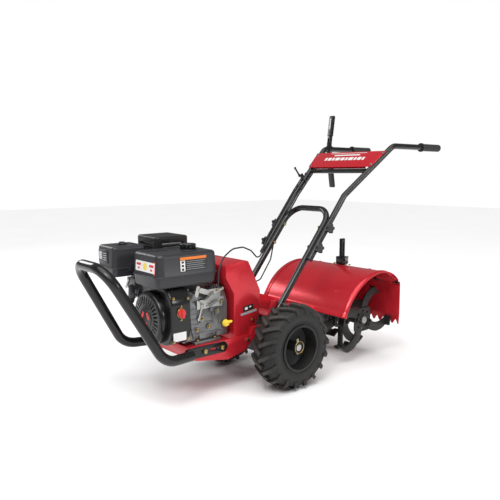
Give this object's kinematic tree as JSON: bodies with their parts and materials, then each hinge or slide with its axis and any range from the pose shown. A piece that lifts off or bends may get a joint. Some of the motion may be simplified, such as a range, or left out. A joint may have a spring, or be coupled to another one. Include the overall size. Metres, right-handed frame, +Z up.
{
  "type": "rear-tine tiller",
  "caption": "Walk-behind rear-tine garden tiller: petrol engine, belt drive, lugged wheels, hooded tines and a handlebar with levers.",
  "frame": {"origin": "on the ground under the middle of the machine's length, on its middle plane", "axes": "+Z up, -Y the way it drives, +X its own left side"},
  "size_m": [0.53, 1.6852, 1.1007],
  "materials": {
    "red_paint": "gloss",
    "black_tube": "gloss",
    "black_plastic": "satin",
    "cast_grey": "as cast",
    "aluminium_cast": "as cast",
    "zinc_steel": "zinc plated",
    "steel": "machined",
    "tyre_rubber": "matt",
    "grip_rubber": "matt",
    "belt_rubber": "matt",
    "blade_paint": "satin",
    "yellow_plastic": "satin",
    "red_plastic": "satin"
  },
  "bodies": {
    "chassis": {"chassis_frame": "red_paint", "gear_case": "cast_grey", "belt_cover": "red_paint", "bumper_tube": "black_tube", "bumper_brackets": "black_tube", "tine_hood": "red_paint", "hood_hinge": "black_tube", "stake_clevis": "black_tube", "crankcase": "aluminium_cast", "cylinder": "aluminium_cast", "blower_housing": "black_plastic", "recoil_cover": "black_plastic", "fuel_tank": "black_plastic", "muffler_guard": "black_tube", "muffler": "steel", "air_cleaner": "black_plastic", "carburettor": "aluminium_cast", "control_bracket": "zinc_steel", "drive_belt": "belt_rubber", "handle_legs": "black_tube", "left_bar": "black_tube", "right_bar": "black_tube", "handle_grips": "grip_rubber", "cross_panel": "red_paint", "cross_tube": "black_tube", "fasteners": "zinc_steel", "lever_mounts": "black_tube", "control_cables": "grip_rubber"},
    "wheels": {"left_rim": "black_tube", "right_rim": "black_tube", "left_tyre": "tyre_rubber", "right_tyre": "tyre_rubber", "wheel_axle": "zinc_steel"},
    "tine_rotor": {"tine_shaft": "steel", "left_tines": "blade_paint", "right_tines": "blade_paint"},
    "input_drive": {"input_shaft": "steel", "input_pulley": "steel"},
    "crank_group": {"crankshaft": "steel", "flywheel": "aluminium_cast", "drive_pulley": "steel"},
    "flap": {"hood_flap": "red_paint"},
    "stake": {"depth_stake": "black_tube"},
    "stake_clamp": {"stake_screw": "zinc_steel"},
    "grip": {"starter_grip": "black_plastic"},
    "reel": {"starter_reel": "black_plastic"},
    "tank_cap": {"fuel_cap": "black_plastic"},
    "choke": {"choke_lever": "zinc_steel"},
    "fuel_valve": {"fuel_valve_lever": "zinc_steel"},
    "throttle": {"throttle_arm": "zinc_steel"},
    "governor": {"governor_arm": "zinc_steel"},
    "switch": {"engine_switch": "red_plastic"},
    "oil_cap": {"dipstick": "yellow_plastic"},
    "clutch": {"clutch_lever": "black_tube"},
    "reverse": {"reverse_lever": "black_tube"},
    "hand_throttle": {"throttle_lever": "black_plastic"},
    "knob_a": {"knob_left_lower": "black_plastic"},
    "knob_b": {"knob_left_upper": "black_plastic"},
    "knob_c": {"knob_right_lower": "black_plastic"},
    "knob_d": {"knob_right_upper": "black_plastic"}
  },
  "joints": [
    {"name": "tine_rotation", "type": "hinge", "parent": "chassis", "child": "tine_rotor", "pos_m": [0, 0.3375, 0.188], "axis": [1, 0, 0], "continuous": true},
    {"name": "wheel_rotation", "type": "hinge", "parent": "chassis", "child": "wheels", "pos_m": [0, -0.1125, 0.165], "axis": [1, 0, 0], "continuous": true},
    {"name": "input_rotation", "type": "hinge", "parent": "chassis", "child": "input_drive", "pos_m": [0, -0.2705, 0.19], "axis": [0, 1, 0], "continuous": true},
    {"name": "crank_rotation", "type": "hinge", "parent": "chassis", "child": "crank_group", "pos_m": [0, -0.2705, 0.315], "axis": [0, 1, 0], "continuous": true},
    {"name": "flap_hinge", "type": "hinge", "parent": "chassis", "child": "flap", "pos_m": [0, 0.5045, 0.34], "axis": [1, 0, 0], "range_deg": [0, 65]},
    {"name": "stake_slide", "type": "slide", "parent": "chassis", "child": "stake", "axis": [0, 0, 1], "range_m": [-0.075, 0]},
    {"name": "stake_screw_turn", "type": "hinge", "parent": "chassis", "child": "stake_clamp", "pos_m": [0, 0.4115, 0.428], "axis": [1, 0, 0], "range_deg": [0, 180]},
    {"name": "starter_pull", "type": "slide", "parent": "chassis", "child": "grip", "axis": [-0.9962, 0, 0.0872], "range_m": [0, 0.6], "stiffness_N_per_m": 25, "springref_m": -0.3},
    {"name": "starter_reel_turn", "type": "hinge", "parent": "chassis", "child": "reel", "pos_m": [0, -0.6065, 0.315], "axis": [0, -1, 0], "range_deg": [0, 662]},
    {"name": "fuel_cap_turn", "type": "hinge", "parent": "chassis", "child": "tank_cap", "pos_m": [0.02, -0.4555, 0.56], "axis": [0, 0, 1], "range_deg": [0, 90]},
    {"name": "choke_turn", "type": "hinge", "parent": "chassis", "child": "choke", "pos_m": [-0.196, -0.5825, 0.42], "axis": [0, -1, 0], "range_deg": [-60, 0]},
    {"name": "fuel_valve_turn", "type": "hinge", "parent": "chassis", "child": "fuel_valve", "pos_m": [-0.164, -0.5825, 0.4], "axis": [0, -1, 0], "range_deg": [0, 60]},
    {"name": "throttle_arm_turn", "type": "hinge", "parent": "chassis", "child": "throttle", "pos_m": [0.088, -0.3865, 0.388], "axis": [1, 0, 0], "range_deg": [-20, 20]},
    {"name": "governor_arm_turn", "type": "hinge", "parent": "chassis", "child": "governor", "pos_m": [0.088, -0.4425, 0.35], "axis": [1, 0, 0], "range_deg": [-8, 12], "stiffness_Nm_per_rad": 0.3},
    {"name": "engine_switch_turn", "type": "hinge", "parent": "chassis", "child": "switch", "pos_m": [0.118, -0.5525, 0.344], "axis": [1, 0, 0], "range_deg": [0, 50]},
    {"name": "oil_cap_turn", "type": "hinge", "parent": "chassis", "child": "oil_cap", "pos_m": [0.084, -0.3425, 0.262], "axis": [0.8192, 0, 0.5736], "range_deg": [0, 180]},
    {"name": "clutch_lever_squeeze", "type": "hinge", "parent": "chassis", "child": "clutch", "pos_m": [-0.20048, 0.5325, 0.965], "axis": [-1, 0, 0], "range_deg": [0, 76], "stiffness_Nm_per_rad": 0.8, "springref_deg": -28.65},
    {"name": "reverse_lever_squeeze", "type": "hinge", "parent": "chassis", "child": "reverse", "pos_m": [-0.20048, 0.5325, 0.911], "axis": [1, 0, 0], "range_deg": [0, 66], "stiffness_Nm_per_rad": 0.8, "springref_deg": -28.65},
    {"name": "hand_throttle_turn", "type": "hinge", "parent": "chassis", "child": "hand_throttle", "pos_m": [-0.16198, 0.30281, 0.81048], "axis": [-1, 0, 0], "range_deg": [-30, 30]},
    {"name": "knob_a_turn", "type": "hinge", "parent": "chassis", "child": "knob_a", "pos_m": [0.1643, 0.0825, 0.52006], "axis": [1, 0, 0], "range_deg": [0, 180]},
    {"name": "knob_b_turn", "type": "hinge", "parent": "chassis", "child": "knob_b", "pos_m": [0.1643, 0.1435, 0.59641], "axis": [1, 0, 0], "range_deg": [0, 180]},
    {"name": "knob_c_turn", "type": "hinge", "parent": "chassis", "child": "knob_c", "pos_m": [-0.1643, 0.0825, 0.52006], "axis": [-1, 0, 0], "range_deg": [0, 180]},
    {"name": "knob_d_turn", "type": "hinge", "parent": "chassis", "child": "knob_d", "pos_m": [-0.1643, 0.1435, 0.59641], "axis": [-1, 0, 0], "range_deg": [0, 180]}
  ],
  "couplings": [
    {"joint": "wheel_rotation", "follows": "tine_rotation", "ratio": 0.16667},
    {"joint": "input_rotation", "follows": "tine_rotation", "ratio": 5},
    {"joint": "starter_reel_turn", "follows": "starter_pull", "rad_per_m": 19.231}
  ]
}
